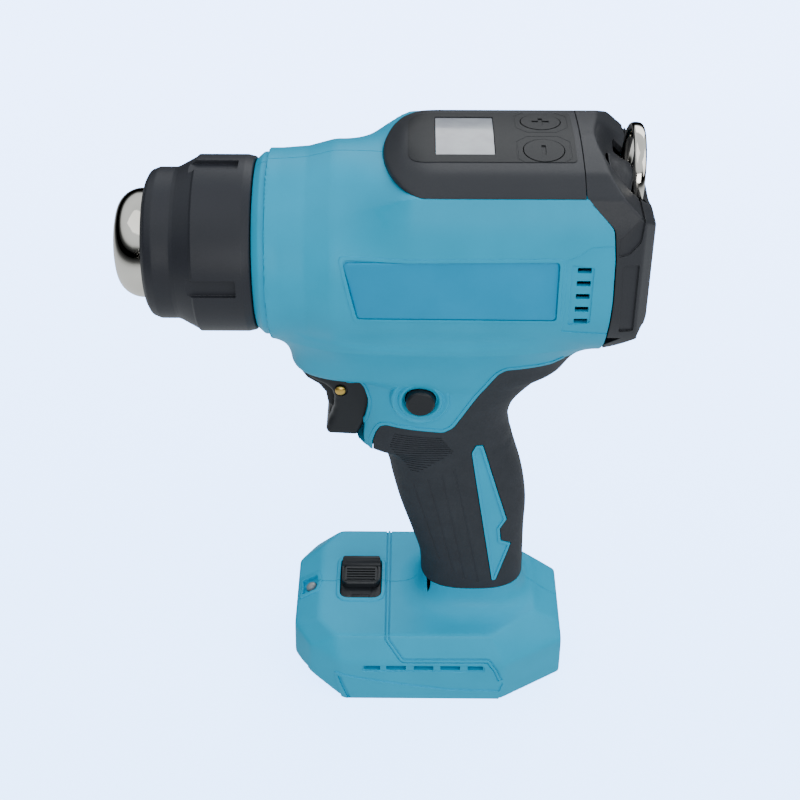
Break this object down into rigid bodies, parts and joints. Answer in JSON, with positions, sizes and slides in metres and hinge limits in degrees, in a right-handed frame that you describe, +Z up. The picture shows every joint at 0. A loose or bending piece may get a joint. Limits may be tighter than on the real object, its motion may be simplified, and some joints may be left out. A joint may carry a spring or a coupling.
{
  "type": "cordless heat gun",
  "caption": "Pistol-grip cordless heat gun: chrome outlet in a black collar, blue two-part housing, rubber grip, display and keys on top, hang ring, battery foot.",
  "frame": {"origin": "on the surface that the battery foot stands on, under the middle of the tool's box", "axes": "-X along the hot-air outlet, +Z up, -Y towards the tool's left side"},
  "size_m": [0.1964, 0.078, 0.254],
  "materials": {
    "blue_housing": "fine-grained moulding",
    "blue_panel": "smooth satin",
    "black_plastic": "fine-grained moulding",
    "grip_rubber": "soft-touch",
    "chrome": "polished",
    "steel": "zinc plated",
    "brass": "turned",
    "mica": "mica sheet",
    "ceramic": "fired ceramic",
    "circuit_board": "solder mask",
    "display": "glossy window",
    "lamp": "clear",
    "pale_plastic": "heat-resistant moulding",
    "red_wire": "insulation"
  },
  "bodies": {
    "tool": {"control_cover": "black_plastic", "display_lens": "display", "display_module": "display", "control_board": "circuit_board", "left_housing": "blue_housing", "right_housing": "blue_housing", "left_side_panel": "blue_panel", "right_side_panel": "blue_panel", "left_grip": "grip_rubber", "right_grip": "grip_rubber", "left_grip_inlay": "blue_housing", "right_grip_inlay": "blue_housing", "front_collar": "black_plastic", "nozzle": "chrome", "mica_sleeve": "mica", "heater_core": "ceramic", "heating_coil": "steel", "thermal_sensor": "steel", "air_duct": "pale_plastic", "motor": "steel", "rear_cover": "black_plastic", "intake_filter": "black_plastic", "trigger_switch": "black_plastic", "trigger_spring": "steel", "slide_switch_base": "black_plastic", "led_lamp": "lamp", "power_board": "circuit_board", "terminal_block": "black_plastic", "negative_blade": "brass", "signal_blade": "brass", "positive_blade": "brass", "positive_lead": "red_wire", "negative_lead": "black_plastic", "rear_cover_screw_1": "steel", "rear_cover_screw_2": "steel", "rear_cover_screw_3": "steel", "rear_cover_screw_4": "steel", "housing_screw_1": "steel", "housing_screw_2": "steel", "housing_screw_3": "steel", "housing_screw_4": "steel", "housing_screw_5": "steel", "housing_screw_6": "steel"},
    "trigger_group": {"trigger": "black_plastic", "trigger_pin": "brass"},
    "safety_lever_body": {"safety_lever": "black_plastic"},
    "lock": {"lock_button": "black_plastic"},
    "plus": {"plus_key": "black_plastic"},
    "minus": {"minus_key": "black_plastic"},
    "ring": {"hang_ring": "chrome"},
    "slider": {"slide_switch_knob": "black_plastic"},
    "fan": {"fan_impeller": "black_plastic", "motor_shaft": "steel"}
  },
  "joints": [
    {"name": "trigger_pull", "type": "slide", "parent": "tool", "child": "trigger_group", "axis": [1, 0, 0], "range_m": [0, 0.006], "stiffness_N_per_m": 900, "springref_m": -0.004, "deforming": ["trigger_spring"]},
    {"name": "safety_lever_squeeze", "type": "hinge", "parent": "trigger_group", "child": "safety_lever_body", "pos_m": [-0.0151, 0, 0.145], "axis": [0, -1, 0], "range_deg": [0, 8], "stiffness_Nm_per_rad": 0.15, "springref_deg": -8.59},
    {"name": "lock_press", "type": "slide", "parent": "tool", "child": "lock", "axis": [0, 1, 0], "range_m": [0, 0.004], "stiffness_N_per_m": 600, "springref_m": -0.002},
    {"name": "plus_press", "type": "slide", "parent": "tool", "child": "plus", "axis": [0, 0, -1], "range_m": [0, 0.0008], "stiffness_N_per_m": 1500, "springref_m": -0.0005},
    {"name": "minus_press", "type": "slide", "parent": "tool", "child": "minus", "axis": [0, 0, -1], "range_m": [0, 0.0008], "stiffness_N_per_m": 1500, "springref_m": -0.0005},
    {"name": "ring_swing", "type": "hinge", "parent": "tool", "child": "ring", "pos_m": [0.092, 0, 0.2285], "axis": [0, -1, 0], "range_deg": [0, 15]},
    {"name": "slide_switch", "type": "slide", "parent": "tool", "child": "slider", "axis": [0, -1, 0], "range_m": [0, 0.0062]},
    {"name": "fan_spin", "type": "hinge", "parent": "tool", "child": "fan", "pos_m": [0.045, 0, 0.2052], "axis": [1, 0, 0], "continuous": true}
  ]
}
